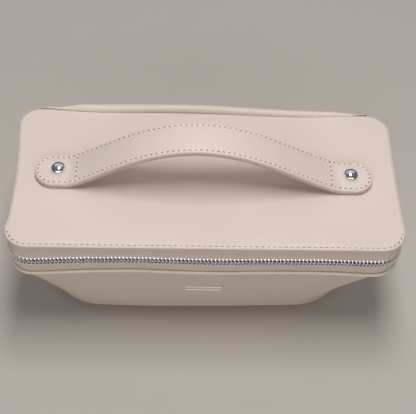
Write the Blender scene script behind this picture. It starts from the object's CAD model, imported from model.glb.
# %% [markdown]
# # A zip-around cosmetic case, sewn and riveted
#
# This lesson dresses a small faux-leather cosmetic case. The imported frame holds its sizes, its joints and a
# plain solid for each piece. Here each soft piece gets its real form, and each surface gets its finish.
# The frame is loaded first and never changed, so the sewn pieces land where the solids are.

# %% Load the frame
import math

import bmesh
import bpy
import numpy as np
from mathutils import Matrix, Vector


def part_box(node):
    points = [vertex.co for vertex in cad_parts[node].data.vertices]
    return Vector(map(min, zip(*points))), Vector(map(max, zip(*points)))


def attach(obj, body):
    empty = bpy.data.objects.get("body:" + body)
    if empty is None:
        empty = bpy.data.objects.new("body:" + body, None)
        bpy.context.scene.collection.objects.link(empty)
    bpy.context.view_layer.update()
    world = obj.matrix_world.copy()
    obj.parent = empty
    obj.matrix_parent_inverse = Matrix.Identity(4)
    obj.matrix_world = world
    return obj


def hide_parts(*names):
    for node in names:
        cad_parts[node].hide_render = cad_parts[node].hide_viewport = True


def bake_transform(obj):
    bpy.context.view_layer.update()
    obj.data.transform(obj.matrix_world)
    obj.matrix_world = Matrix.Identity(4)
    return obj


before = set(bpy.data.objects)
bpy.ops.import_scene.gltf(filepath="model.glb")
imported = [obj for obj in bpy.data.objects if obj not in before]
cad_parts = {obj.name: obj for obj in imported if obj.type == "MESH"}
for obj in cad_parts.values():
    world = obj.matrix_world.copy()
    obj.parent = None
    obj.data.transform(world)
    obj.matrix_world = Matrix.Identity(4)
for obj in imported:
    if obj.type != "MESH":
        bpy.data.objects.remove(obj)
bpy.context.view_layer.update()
MM = 0.001

# %% [markdown]
# ## Sizes
#
# A maker works from a few leading sizes: how long and deep the lid is, how high the zip runs, and where the
# body starts. They could be typed in again, but then a change to the frame would leave the looks behind.
# So they are measured on the frame's own solids.

# %% Leading sizes
lid_low, lid_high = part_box("lid_cover")
tape_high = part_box("zip_tape_upper")[1]
lower_tape_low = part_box("zip_tape_lower")[0]
teeth_high, teeth_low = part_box("zip_teeth_upper")[1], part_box("zip_teeth_lower")[0]
bead_low, bead_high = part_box("body_piping")
wall_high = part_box("body_wall")[1]
TOP, LID_BOTTOM = lid_high.z, lid_low.z
LID_X, LID_Y, LID_CORNER = lid_high.x, lid_high.y, 16 * MM
TAPE_X, TAPE_Y, TAPE_CORNER = tape_high.x, tape_high.y, 15 * MM
TAPE_THICKNESS = 0.8 * MM
ZIP_HEIGHT = (teeth_high.z + teeth_low.z) / 2
BEAD_HEIGHT, BEAD_RADIUS = (bead_low.z + bead_high.z) / 2, 1.2 * MM
BODY_TOP, BODY_X, BODY_Y = wall_high.z, wall_high.x, wall_high.y
TAPER_X, TAPER_Y, BASE_CORNER, BASE_TURN = 17 * MM, 15.6 * MM, 38 * MM, 11.5 * MM
HINGE_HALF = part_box("hinge_panel")[1].x
print(f"lid {2 * LID_X / MM:.0f} x {2 * LID_Y / MM:.0f} mm, zip at {ZIP_HEIGHT / MM:.1f} mm")

# %% [markdown]
# ## The camera and the light
#
# A product picture of a case like this is taken from above and in front. The camera's place is set once,
# before the pieces, so each piece can be judged from it. It looks down at 53 degrees, a little to the
# right, and is rolled by a few degrees. A long lens keeps the back of the lid nearly as wide as the front.

# %% Camera
LOOK_DOWN, LOOK_RIGHT, ROLL = math.radians(53.0), math.radians(3.44), math.radians(3.53)
CAMERA_PLACE = (-0.0219, -0.4082, 0.6109)
look = Vector(
    (
        math.sin(LOOK_RIGHT) * math.cos(LOOK_DOWN),
        math.cos(LOOK_RIGHT) * math.cos(LOOK_DOWN),
        -math.sin(LOOK_DOWN),
    )
)
right = look.cross(Vector((0, 0, 1))).normalized()
up = right.cross(look)
rolled_right = math.cos(ROLL) * right + math.sin(ROLL) * up
rolled_up = math.cos(ROLL) * up - math.sin(ROLL) * right
camera = bpy.data.objects.new("camera", bpy.data.cameras.new("camera"))
bpy.context.scene.collection.objects.link(camera)
turn = Matrix((rolled_right, rolled_up, -look)).transposed().to_4x4()
camera.matrix_world = Matrix.Translation(CAMERA_PLACE) @ turn
camera.data.sensor_width = 36.0
camera.data.lens = 86.6
camera.data.clip_start = 0.01
bpy.context.scene.camera = camera
print("camera at", [round(value, 3) for value in camera.location])

# %% [markdown]
# The overhead light is a soft box about twice as long as the case, so the strap throws a soft shadow
# straight down. Two wide, weak sheets of light, above and behind, fill that shadow. A long low box in front
# lights the upright front and draws bright lines on the metal, and a dim warm world stands for the room.

# %% Lights, world and floor
def soft_box(name, place, size, watts, towards=(0, 0, 0.1)):
    """An area light that faces a point."""
    data = bpy.data.lights.new(name, "AREA")
    data.shape = "RECTANGLE"
    data.size, data.size_y = size
    data.energy = watts
    light = bpy.data.objects.new(name, data)
    light.location = place
    light.rotation_euler = (Vector(towards) - Vector(place)).to_track_quat("-Z", "Y").to_euler()
    bpy.context.scene.collection.objects.link(light)
    return light


soft_box("key_overhead", (0.03, 0.0, 1.05), (0.55, 0.22), 6.6)
soft_box("fill_overhead", (0, 0.4, 1.6), (2.6, 1.6), 0.9)
soft_box("fill_back", (0, 0.95, 1.05), (2.4, 0.9), 2.9)
soft_box("fill_front", (0, -1.25, 0.74), (2.2, 0.5), 7.1)
world = bpy.data.worlds.new("studio")
bpy.context.scene.world = world
world.use_nodes = True
world.node_tree.nodes["Background"].inputs["Color"].default_value = (1.0, 0.96, 0.90, 1)
world.node_tree.nodes["Background"].inputs["Strength"].default_value = 0.12
bpy.context.scene.view_settings.view_transform = "Standard"

# %% [markdown]
# ## Finishes
#
# Every finish is a small node tree. Effects that several finishes share are node groups: fine leather grain,
# slow drift of tone, wear along edges, woven twill, and fine rubbing marks on metal. The groups only give
# colours, masks and heights. The shader stays in each material.

# %% Helpers for node trees
def socket_of(sockets, name):
    """The socket with this name that is in use, or the one at this number."""
    if isinstance(name, int):
        return sockets[name]
    named = [socket for socket in sockets if socket.name == name]
    return next((socket for socket in named if socket.enabled), named[0])


def add(tree, kind, inputs=None, **settings):
    """A new node with its settings, and each input set to a value or linked to another node's output."""
    made = tree.nodes.new(kind)
    for key, value in settings.items():
        setattr(made, key, value)
    for name, value in (inputs or {}).items():
        socket = socket_of(made.inputs, name)
        if isinstance(value, bpy.types.NodeSocket):
            tree.links.new(value, socket)
        else:
            socket.default_value = value
    return made


def math_node(tree, operation, *values):
    """The output of a Math node on one, two or three values."""
    return add(tree, "ShaderNodeMath", dict(enumerate(values)), operation=operation).outputs[0]


def new_group(name, inputs, outputs, kind="ShaderNodeTree"):
    """An empty node group with named sockets, its input node and its output node."""
    tree = bpy.data.node_groups.new(name, kind)
    for title, socket_type, value in inputs:
        socket = tree.interface.new_socket(title, in_out="INPUT", socket_type="NodeSocket" + socket_type)
        if value is not None:
            socket.default_value = value
    for title, socket_type in outputs:
        tree.interface.new_socket(title, in_out="OUTPUT", socket_type="NodeSocket" + socket_type)
    return tree, tree.nodes.new("NodeGroupInput"), tree.nodes.new("NodeGroupOutput")


print("node helpers ready")

# %% [markdown]
# Smooth faux leather is embossed with a very fine pebble: rounded cells under a millimetre across, with
# narrow valleys between them. A Voronoi texture gives the cells, and noise breaks them up.

# %% Group: leather grain
grain_group, given, result = new_group(
    "leather_grain",
    [("Vector", "Vector", None), ("Pebble Size", "Float", 0.8 * MM), ("Breakup", "Float", 0.35)],
    [("Height", "Float"), ("Valley", "Float")],
)
scale = math_node(grain_group, "DIVIDE", 1.0, given.outputs["Pebble Size"])
cells = add(
    grain_group,
    "ShaderNodeTexVoronoi",
    {"Vector": given.outputs["Vector"], "Scale": scale},
    feature="SMOOTH_F1",
)
fine = add(
    grain_group,
    "ShaderNodeTexNoise",
    {
        "Vector": given.outputs["Vector"],
        "Scale": math_node(grain_group, "MULTIPLY", scale, 2.3),
        "Detail": 3.0,
    },
)
dome = math_node(grain_group, "SUBTRACT", 1.0, cells.outputs["Distance"])
broken = math_node(grain_group, "MULTIPLY", fine.outputs["Fac"], given.outputs["Breakup"])
grain_group.links.new(math_node(grain_group, "ADD", dome, broken), result.inputs["Height"])
valley = add(
    grain_group,
    "ShaderNodeMapRange",
    {"Value": cells.outputs["Distance"], "From Min": 0.45, "From Max": 0.8},
)
grain_group.links.new(valley.outputs["Result"], result.inputs["Valley"])
print("group", grain_group.name)

# %% [markdown]
# Nothing dyed or coated is one even colour. This group drifts a colour slowly lighter and darker over a
# few centimetres, with a faint mottle inside each patch.

# %% Group: tone drift
drift_group, given, result = new_group(
    "tone_drift",
    [
        ("Vector", "Vector", None),
        ("Color", "Color", None),
        ("Patch Size", "Float", 40 * MM),
        ("Amount", "Float", 0.05),
    ],
    [("Color", "Color")],
)
patches = add(
    drift_group,
    "ShaderNodeTexNoise",
    {
        "Vector": given.outputs["Vector"],
        "Scale": math_node(drift_group, "DIVIDE", 1.0, given.outputs["Patch Size"]),
        "Detail": 4.0,
        "Roughness": 0.55,
    },
)
swing = math_node(drift_group, "SUBTRACT", patches.outputs["Fac"], 0.5)
lift = math_node(
    drift_group, "MULTIPLY_ADD", swing, math_node(drift_group, "MULTIPLY", given.outputs["Amount"], 2.0), 1.0
)
shifted = add(drift_group, "ShaderNodeHueSaturation", {"Value": lift, "Color": given.outputs["Color"]})
drift_group.links.new(shifted.outputs["Color"], result.inputs["Color"])
print("group", drift_group.name)

# %% [markdown]
# Edges and high folds get rubbed: the colour goes a little paler and the surface a little shinier. The
# meshes carry an "edge" attribute, which is 1 along an edge and fades to 0, and noise breaks it into patches.

# %% Group: rubbed edge
rub_group, given, result = new_group(
    "rubbed_edge",
    [
        ("Vector", "Vector", None),
        ("Edge", "Float", 0.0),
        ("Color", "Color", None),
        ("Rubbed Color", "Color", None),
        ("Amount", "Float", 0.5),
    ],
    [("Color", "Color"), ("Mask", "Float")],
)
breakup = add(
    rub_group, "ShaderNodeTexNoise", {"Vector": given.outputs["Vector"], "Scale": 160.0, "Detail": 3.0}
)
patchy = add(
    rub_group,
    "ShaderNodeMapRange",
    {"Value": breakup.outputs["Fac"], "From Min": 0.3, "From Max": 0.7},
)
on_edge = math_node(rub_group, "MULTIPLY", given.outputs["Edge"], patchy.outputs["Result"])
mask = math_node(rub_group, "MULTIPLY", on_edge, given.outputs["Amount"])
paler = add(
    rub_group,
    "ShaderNodeMix",
    {0: mask, 6: given.outputs["Color"], 7: given.outputs["Rubbed Color"]},
    data_type="RGBA",
)
rub_group.links.new(paler.outputs[2], result.inputs["Color"])
rub_group.links.new(mask, result.inputs["Mask"])
print("group", rub_group.name)

# %% [markdown]
# Zip tape and lining are woven. A twill shows slanting ribs, where each thread steps one along. Two sine
# waves on the piece's own UV map, one slanting and one straight, give the ribs and the thread ends on them.

# %% Group: woven twill
twill_group, given, result = new_group(
    "woven_twill",
    [("UV", "Vector", None), ("Thread", "Float", 0.5 * MM), ("Slant", "Float", 1.0)],
    [("Height", "Float"), ("Gap", "Float")],
)
flat = add(twill_group, "ShaderNodeSeparateXYZ", {"Vector": given.outputs["UV"]})
turns = math_node(twill_group, "DIVIDE", 2 * math.pi, given.outputs["Thread"])
slanted = math_node(
    twill_group, "MULTIPLY_ADD", flat.outputs["Y"], given.outputs["Slant"], flat.outputs["X"]
)
rib = math_node(twill_group, "SINE", math_node(twill_group, "MULTIPLY", slanted, turns))
ends = math_node(twill_group, "SINE", math_node(twill_group, "MULTIPLY", flat.outputs["Y"], turns))
woven = math_node(twill_group, "MULTIPLY_ADD", ends, 0.35, rib)
twill_group.links.new(woven, result.inputs["Height"])
gap = add(twill_group, "ShaderNodeMapRange", {"Value": woven, "From Min": -0.2, "From Max": -1.2})
twill_group.links.new(gap.outputs["Result"], result.inputs["Gap"])
print("group", twill_group.name)

# %% [markdown]
# Plated metal is never quite clean. Faint marks change how sharply it reflects: long fine scratches and
# softer finger smears. The group gives a roughness and a very small height.

# %% Group: handling marks
marks_group, given, result = new_group(
    "handling_marks",
    [("Vector", "Vector", None), ("Base Roughness", "Float", 0.12), ("Amount", "Float", 0.12)],
    [("Roughness", "Float"), ("Height", "Float")],
)
stretched = add(
    marks_group, "ShaderNodeMapping", {"Vector": given.outputs["Vector"], "Scale": (3000.0, 500.0, 700.0)}
)
scratches = add(
    marks_group, "ShaderNodeTexNoise", {"Vector": stretched.outputs["Vector"], "Scale": 1.0, "Detail": 4.0}
)
smears = add(
    marks_group, "ShaderNodeTexNoise", {"Vector": given.outputs["Vector"], "Scale": 420.0, "Detail": 2.0}
)
both = math_node(marks_group, "MULTIPLY", scratches.outputs["Fac"], smears.outputs["Fac"])
rougher = math_node(
    marks_group, "MULTIPLY_ADD", both, given.outputs["Amount"], given.outputs["Base Roughness"]
)
marks_group.links.new(rougher, result.inputs["Roughness"])
marks_group.links.new(scratches.outputs["Fac"], result.inputs["Height"])
print("group", marks_group.name)

# %% [markdown]
# Each material is now short: coordinates, one or two groups, and a Principled shader whose fixed values sit
# on its own sockets. The leather's colour is a pale blush, and the piping is a lighter blush. The rubbed
# colour is the same blush again, paler.

# %% Helpers for materials
def new_material(name, **fixed):
    """A material with an empty Principled shader, its fixed values, and object coordinates."""
    made = bpy.data.materials.new(name)
    made.use_nodes = True
    tree = made.node_tree
    shader = tree.nodes["Principled BSDF"]
    for key, value in fixed.items():
        shader.inputs[key.replace("_", " ")].default_value = value
    coordinates = tree.nodes.new("ShaderNodeTexCoord")
    return made, tree, shader, coordinates


def use_group(tree, group, inputs):
    """One of the groups above, placed in a material."""
    made = tree.nodes.new("ShaderNodeGroup")
    made.node_tree = group
    for name, value in inputs.items():
        if isinstance(value, bpy.types.NodeSocket):
            tree.links.new(value, made.inputs[name])
        else:
            made.inputs[name].default_value = value
    return made


def add_bump(tree, shader, height, strength, distance):
    """Fine relief in the shading."""
    bump = add(tree, "ShaderNodeBump", {"Height": height, "Strength": strength, "Distance": distance})
    tree.links.new(bump.outputs["Normal"], shader.inputs["Normal"])


def leather(name, colour, rubbed, pebble, relief, roughness, drift=0.05):
    """Coated faux leather: grain in the relief, darker valleys, slow drift of tone, and rubbed edges."""
    made, tree, shader, coordinates = new_material(name, Coat_Roughness=0.35, Specular_IOR_Level=0.42)
    place = coordinates.outputs["Object"]
    drifted = use_group(tree, drift_group, {"Vector": place, "Color": colour, "Amount": drift})
    edge = add(tree, "ShaderNodeAttribute", attribute_name="edge")
    worn = use_group(
        tree,
        rub_group,
        {
            "Vector": place,
            "Edge": edge.outputs["Fac"],
            "Color": drifted.outputs["Color"],
            "Rubbed Color": rubbed,
        },
    )
    grain = use_group(tree, grain_group, {"Vector": place, "Pebble Size": pebble})
    valleys = math_node(tree, "MULTIPLY", grain.outputs["Valley"], 0.18)
    dark = tuple(0.72 * value for value in colour[:3]) + (1,)
    shaded = add(
        tree, "ShaderNodeMix", {0: valleys, 6: worn.outputs["Color"], 7: dark}, data_type="RGBA"
    )
    tree.links.new(shaded.outputs[2], shader.inputs["Base Color"])
    gloss = math_node(tree, "MULTIPLY_ADD", worn.outputs["Mask"], -0.12, roughness)
    matt = math_node(tree, "MULTIPLY_ADD", grain.outputs["Valley"], 0.1, gloss)
    tree.links.new(matt, shader.inputs["Roughness"])
    add_bump(tree, shader, grain.outputs["Height"], relief, 0.06 * MM)
    return made


def cloth(name, colour, thread, slant, relief, contrast, sheen):
    """Woven cloth on the piece's UV map: twill ribs in the relief, darker gaps, slow drift of tone."""
    made, tree, shader, coordinates = new_material(name, Roughness=0.82, Sheen_Weight=sheen)
    shader.inputs["Sheen Roughness"].default_value = 0.45
    weave = use_group(
        tree, twill_group, {"UV": coordinates.outputs["UV"], "Thread": thread, "Slant": slant}
    )
    drifted = use_group(
        tree, drift_group, {"Vector": coordinates.outputs["Object"], "Color": colour, "Amount": 0.07}
    )
    gaps = math_node(tree, "MULTIPLY", weave.outputs["Gap"], contrast)
    dark = tuple(0.45 * value for value in colour[:3]) + (1,)
    shaded = add(
        tree, "ShaderNodeMix", {0: gaps, 6: drifted.outputs["Color"], 7: dark}, data_type="RGBA"
    )
    tree.links.new(shaded.outputs[2], shader.inputs["Base Color"])
    add_bump(tree, shader, weave.outputs["Height"], relief, 0.12 * MM)
    return made


def plated(name, colour, roughness, amount):
    """Plated metal with handling marks in its gloss and in a very small relief."""
    made, tree, shader, coordinates = new_material(name, Metallic=1.0)
    place = coordinates.outputs["Object"]
    drifted = use_group(
        tree, drift_group, {"Vector": place, "Color": colour, "Patch Size": 3 * MM, "Amount": 0.04}
    )
    tree.links.new(drifted.outputs["Color"], shader.inputs["Base Color"])
    marks = use_group(
        tree, marks_group, {"Vector": place, "Base Roughness": roughness, "Amount": amount}
    )
    tree.links.new(marks.outputs["Roughness"], shader.inputs["Roughness"])
    add_bump(tree, shader, marks.outputs["Height"], 0.08, 0.01 * MM)
    return made


def fibrous(name, colour, size, relief, roughness=0.9, drift=0.1):
    """Pressed or spun fibre, such as thread, felt and stiffening sheet."""
    made, tree, shader, coordinates = new_material(name, Roughness=roughness)
    place = coordinates.outputs["Object"]
    drifted = use_group(
        tree, drift_group, {"Vector": place, "Color": colour, "Patch Size": 8 * size, "Amount": drift}
    )
    tree.links.new(drifted.outputs["Color"], shader.inputs["Base Color"])
    fluff = add(tree, "ShaderNodeTexNoise", {"Vector": place, "Scale": 1 / size, "Detail": 4.0})
    add_bump(tree, shader, fluff.outputs["Fac"], relief, 0.1 * MM)
    return made


# %% The case's materials
BLUSH, PALE_BLUSH = (0.70, 0.58, 0.518, 1), (0.80, 0.69, 0.63, 1)
blush_leather = leather("blush_leather", BLUSH, PALE_BLUSH, 0.75 * MM, 0.22, 0.5)
PIPING, PALE_PIPING = (0.84, 0.71, 0.64, 1), (0.88, 0.78, 0.72, 1)
piping_leather = leather("piping_leather", PIPING, PALE_PIPING, 0.6 * MM, 0.12, 0.30, 0.03)
under_leather = leather("strap_under_leather", (0.62, 0.50, 0.44, 1), PALE_BLUSH, 0.6 * MM, 0.25, 0.6)
zip_twill = cloth("zip_twill", (0.90, 0.745, 0.65, 1), 1.0 * MM, 0.7, 0.8, 0.7, 0.15)
lining_cloth = cloth("lining_cloth", (0.52, 0.43, 0.38, 1), 0.45 * MM, 1.0, 0.35, 0.3, 0.25)
bright_nickel = plated("bright_nickel", (0.86, 0.89, 0.92, 1), 0.09, 0.12)
tooth_nickel = plated("tooth_nickel", (0.90, 0.92, 0.94, 1), 0.24, 0.2)
badge_nickel = plated("badge_nickel", (0.95, 0.95, 0.94, 1), 0.34, 0.1)
sewing_thread = fibrous("sewing_thread", (0.88, 0.77, 0.70, 1), 0.25 * MM, 0.4, 0.65)
needle_hole = fibrous("needle_hole", (0.11, 0.08, 0.06, 1), 0.3 * MM, 0.3)
strap_felt = fibrous("strap_felt", (0.45, 0.38, 0.33, 1), 0.4 * MM, 0.6)
stiffener_sheet = fibrous("stiffener_sheet", (0.36, 0.31, 0.26, 1), 0.6 * MM, 0.3, 0.75)
studio_floor = fibrous("studio_floor", (0.50, 0.465, 0.425, 1), 4 * MM, 0.02, 0.85, 0.01)
print("materials", len(bpy.data.materials))

# %% [markdown]
# ## The mesh tools of this lesson
#
# Nearly every piece of the case follows its plan, a rounded oblong. So one helper gives points round that
# oblong with their outward directions, always the same number of them in the same order. Two outlines of
# different sizes then match point for point, and any stack of them can be joined into a skin.

# %% Outline helper
CORNER_STEPS, LONG_STEPS, SHORT_STEPS = 14, 100, 44


def outline(half_x, half_y, corner):
    """Points round a rounded oblong, anticlockwise from above, with outward directions. They start at the
    back left corner, so all but the last LONG_STEPS - 1 of them are the way that the zip runs."""
    curves = []
    for side_x, side_y, start in ((-1, 1, 90), (-1, -1, 180), (1, -1, 270), (1, 1, 0)):
        turn = np.radians(np.linspace(start, start + 90, CORNER_STEPS + 1))
        away = np.column_stack([np.cos(turn), np.sin(turn)])
        centre = np.array([side_x * (half_x - corner), side_y * (half_y - corner)])
        curves.append((centre + corner * away, away))
    spots, outwards = [], []
    for index, (curve, away) in enumerate(curves):
        following = curves[(index + 1) % 4][0][0]
        steps = LONG_STEPS if index % 2 else SHORT_STEPS
        shares = np.linspace(0, 1, steps + 1)[1:-1, None]
        spots += [curve, curve[-1] + shares * (following - curve[-1])]
        outwards += [away, np.repeat(away[-1:], steps - 1, axis=0)]
    return np.concatenate(spots), np.concatenate(outwards)


ZIP_POINTS = 4 * (CORNER_STEPS + 1) + 2 * (SHORT_STEPS - 1) + (LONG_STEPS - 1)
print("points round the case", len(outline(LID_X, LID_Y, LID_CORNER)[0]), "of which the zip has", ZIP_POINTS)

# %% [markdown]
# The real case isn't as straight as its plan. It is soft, so the lid's sides draw in a little between their
# corners, more on the left, its front edge stands a little proud, and the zip and the bead below it sag along
# the front. The soft pieces go through the same function, so they still meet after it. The hinge roll does
# not, because its outline along the back is set point by point.

# %% Settling into the soft shape
def ramp(values, low, high):
    """0 up to low, 1 from high, and a smooth rise between."""
    share = np.clip((values - low) / (high - low), 0, 1)
    return share * share * (3 - 2 * share)


def hump(values, centre, width):
    """1 at the centre, falling away smoothly over about the width on each side."""
    return np.exp(-(((values - centre) / width) ** 2))


def settle(points):
    """The points moved as the soft case settles."""
    moved = np.array(points, float)
    x, y, z = moved[..., 0].copy(), moved[..., 1].copy(), moved[..., 2].copy()
    left = 2.2 * MM * np.maximum(1 - (y / (43 * MM)) ** 2, -0.55) * ramp(z, 62 * MM, 90 * MM)
    right_side = 0.5 * MM * np.maximum(1 - ((y - 8 * MM) / (34 * MM)) ** 2, -1.9) * ramp(z, 91 * MM, 98 * MM)
    left = left - 1.1 * MM * hump(y, -47 * MM, 7 * MM) * ramp(z, 90 * MM, 97 * MM)
    draw = np.where(x < 0, left, right_side)
    moved[..., 0] -= np.sign(x) * draw * ramp(np.abs(x), 70 * MM, 122 * MM)
    back = 1.2 * MM * (1 - ramp(x, -112 * MM, -84 * MM)) - 0.4 * MM * ramp(x, -95 * MM, -70 * MM)
    back = back - 0.4 * MM * hump(x, 70 * MM, 30 * MM)
    moved[..., 1] += back * ramp(y, 30 * MM, 54 * MM) * ramp(z, 88 * MM, 97 * MM)
    moved[..., 1] -= 1.4 * MM * ramp(-y, 40 * MM, 55 * MM) * ramp(z, 98 * MM, 99.5 * MM)
    sag = 3.7 * MM * hump(x, -112 * MM, 27 * MM) + 1.5 * MM * hump(x, 4 * MM, 32 * MM)
    sag = sag + 1.9 * MM * hump(x, 106 * MM, 18 * MM) - 0.6 * MM * hump(x, -45 * MM, 16 * MM)
    levels = np.array([30 * MM, 71 * MM, 77 * MM, ZIP_HEIGHT, 97 * MM, TOP])
    share = np.interp(z, levels, [0.0, 1.0, 0.95, 0.66, 0.12, 0.0])
    moved[..., 2] -= sag * share * ramp(-y, 28 * MM, 52 * MM)
    return moved


print("soft shift at mid left side, mm", (settle([[-LID_X, 0, TOP]])[0][0] + LID_X) / MM)

# %% [markdown]
# A skin is a grid of points turned into faces: one way round the outline, the other way across the piece.
# It gets a UV map in metres, so a weave has the same scale everywhere. Where the grid closes on itself the
# doubled points are merged, and then the faces are turned to point outwards.

# %% Skin helper
def skin(name, grid, around=True, tube=True, caps=True, edge=None):
    """A mesh over a grid of points. around closes its rows, tube its columns, caps the ends of a tube."""
    rows, columns = grid.shape[:2]
    down = np.r_[0, np.cumsum(np.linalg.norm(np.diff(grid[:, 0], axis=0), axis=1))]
    across = np.r_[0, np.cumsum(np.linalg.norm(np.diff(grid[rows // 2], axis=0), axis=1))]
    down = np.r_[down, down[-1] + np.linalg.norm(grid[0, 0] - grid[-1, 0])]
    across = np.r_[across, across[-1] + np.linalg.norm(grid[rows // 2, 0] - grid[rows // 2, -1])]
    work = bmesh.new()
    uv = work.loops.layers.uv.new("UVMap")
    worn = work.verts.layers.float.new("edge")
    verts = [[work.verts.new(point) for point in row] for row in grid]
    if edge is not None:
        for i in range(rows):
            for j in range(columns):
                verts[i][j][worn] = edge[j]
    for i in range(rows if around else rows - 1):
        for j in range(columns if tube else columns - 1):
            corners = ((i, j), (i + 1, j), (i + 1, j + 1), (i, j + 1))
            face = work.faces.new([verts[a % rows][b % columns] for a, b in corners])
            for loop, (a, b) in zip(face.loops, corners):
                loop[uv].uv = (down[a], across[b])
    if caps and tube and not around:
        work.faces.new(verts[0])
        work.faces.new(verts[-1][::-1])
    bmesh.ops.remove_doubles(work, verts=work.verts, dist=0.001 * MM)
    bmesh.ops.recalc_face_normals(work, faces=work.faces)
    mesh = bpy.data.meshes.new(name)
    work.to_mesh(mesh)
    work.free()
    mesh.shade_smooth()
    return mesh


def add_piece(name, mesh, finish, body, slot, *stands_for):
    """A finished piece: its mesh, its finish, the body that it rides on, and the nodes it stands for."""
    piece = bpy.data.objects.new(name, mesh)
    bpy.context.scene.collection.objects.link(piece)
    if finish:
        mesh.materials.clear()
        mesh.materials.append(finish)
    if body:
        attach(piece, body)
    if stands_for:
        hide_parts(*stands_for)
    print(f"{name}: {len(mesh.polygons)} faces")
    return piece


print("skin helpers ready")

# %% [markdown]
# Wide pieces such as the lid need points all over, not only at their rim. Their columns run from the middle
# line of the piece out to the rim and back underneath. Near the rim a column is an exact distance in from
# the edge, so a rolled edge keeps its shape round a corner. Further in it slides towards the middle line.

# %% Spread helper
def spread(spots, outwards, half_width, spine, reach, profile):
    """A grid over a wide piece. The profile is (inset, height) pairs. An inset of half_width is the middle
    line, which runs spine to each side of the centre, and insets up to reach are true distances."""
    inner = spots - outwards * reach
    middle = np.column_stack([np.clip(spots[:, 0], -spine, spine), np.zeros(len(spots))])
    columns = []
    for inset, height in profile:
        if inset <= reach:
            flat = spots - outwards * inset
        else:
            flat = inner + (middle - inner) * (inset - reach) / (half_width - reach)
        columns.append(np.column_stack([flat, np.full(len(flat), height)]))
    return np.stack(columns, axis=1)


def rolled(centre_inset, centre_height, radius_in, radius_up, start, stop, steps):
    """Profile points round a rolled edge, where 90 degrees is straight up and 270 straight down."""
    angles = np.radians(np.linspace(start, stop, steps + 1))
    insets = centre_inset + radius_in * np.cos(angles)
    return list(zip(insets, centre_height + radius_up * np.sin(angles)))


print("spread helpers ready")

# %% [markdown]
# ## What repeats: Geometry Nodes
#
# Stitches and zip teeth are hundreds of small copies along a line. They could be placed in a loop, but a
# node tree keeps their sizes as named inputs that can be tried out by hand. The line is a mesh with an "up"
# attribute, which says which way is off the surface, so stitches lie flat even on the arched strap.

# %% Node tree: points along a line
def put_along(tree, given, spacing):
    """Evenly spaced points along the given line, with the turn that lays a copy on the surface there."""
    curve = add(tree, "GeometryNodeMeshToCurve", {"Mesh": given.outputs["Geometry"]})
    points = add(
        tree,
        "GeometryNodeResampleCurve",
        {"Curve": curve.outputs["Curve"], "Length": spacing},
        mode="LENGTH",
    )
    off_surface = add(tree, "GeometryNodeInputNamedAttribute", {"Name": "up"}, data_type="FLOAT_VECTOR")
    upright = add(
        tree,
        "FunctionNodeAlignRotationToVector",
        {"Vector": off_surface.outputs["Attribute"]},
        axis="Z",
    )
    tangent = tree.nodes.new("GeometryNodeInputTangent")
    turned = add(
        tree,
        "FunctionNodeAlignRotationToVector",
        {"Rotation": upright.outputs["Rotation"], "Vector": tangent.outputs["Tangent"]},
        axis="X",
        pivot_axis="Z",
    )
    index = tree.nodes.new("GeometryNodeInputIndex")
    odd = math_node(tree, "MODULO", index.outputs["Index"], 2.0)
    return points.outputs["Curve"], turned.outputs["Rotation"], odd


def copies(tree, points, rotation, wanted, shape, size, finish):
    """Copies of a shape at the wanted points, made real and given a finish."""
    placed = add(
        tree,
        "GeometryNodeInstanceOnPoints",
        {"Points": points, "Selection": wanted, "Instance": shape, "Rotation": rotation, "Scale": size},
    )
    real = add(tree, "GeometryNodeRealizeInstances", {"Geometry": placed.outputs["Instances"]})
    return add(
        tree, "GeometryNodeSetMaterial", {"Geometry": real.outputs["Geometry"], "Material": finish}
    ).outputs["Geometry"]


def jitter(tree, given):
    """A size close to 1 that differs from copy to copy, from the tree's seed."""
    least = math_node(tree, "SUBTRACT", 1.0, given.outputs["Unevenness"])
    most = math_node(tree, "ADD", 1.0, given.outputs["Unevenness"])
    return add(
        tree,
        "FunctionNodeRandomValue",
        {"Min": least, "Max": most, "Seed": given.outputs["Seed"]},
        data_type="FLOAT",
    ).outputs["Value"]


LINE_INPUTS = [("Geometry", "Geometry", None), ("Pitch", "Float", 3.6 * MM)]
CHANCE_INPUTS = [("Unevenness", "Float", 0.08), ("Seed", "Int", 7)]
print("line tree helpers ready")

# %% [markdown]
# A lock stitch shows two things in turn: a short length of thread, and the dark needle hole where it dives
# into the leather. The tree halves the pitch and puts thread on the even points and holes on the odd ones.

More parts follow.
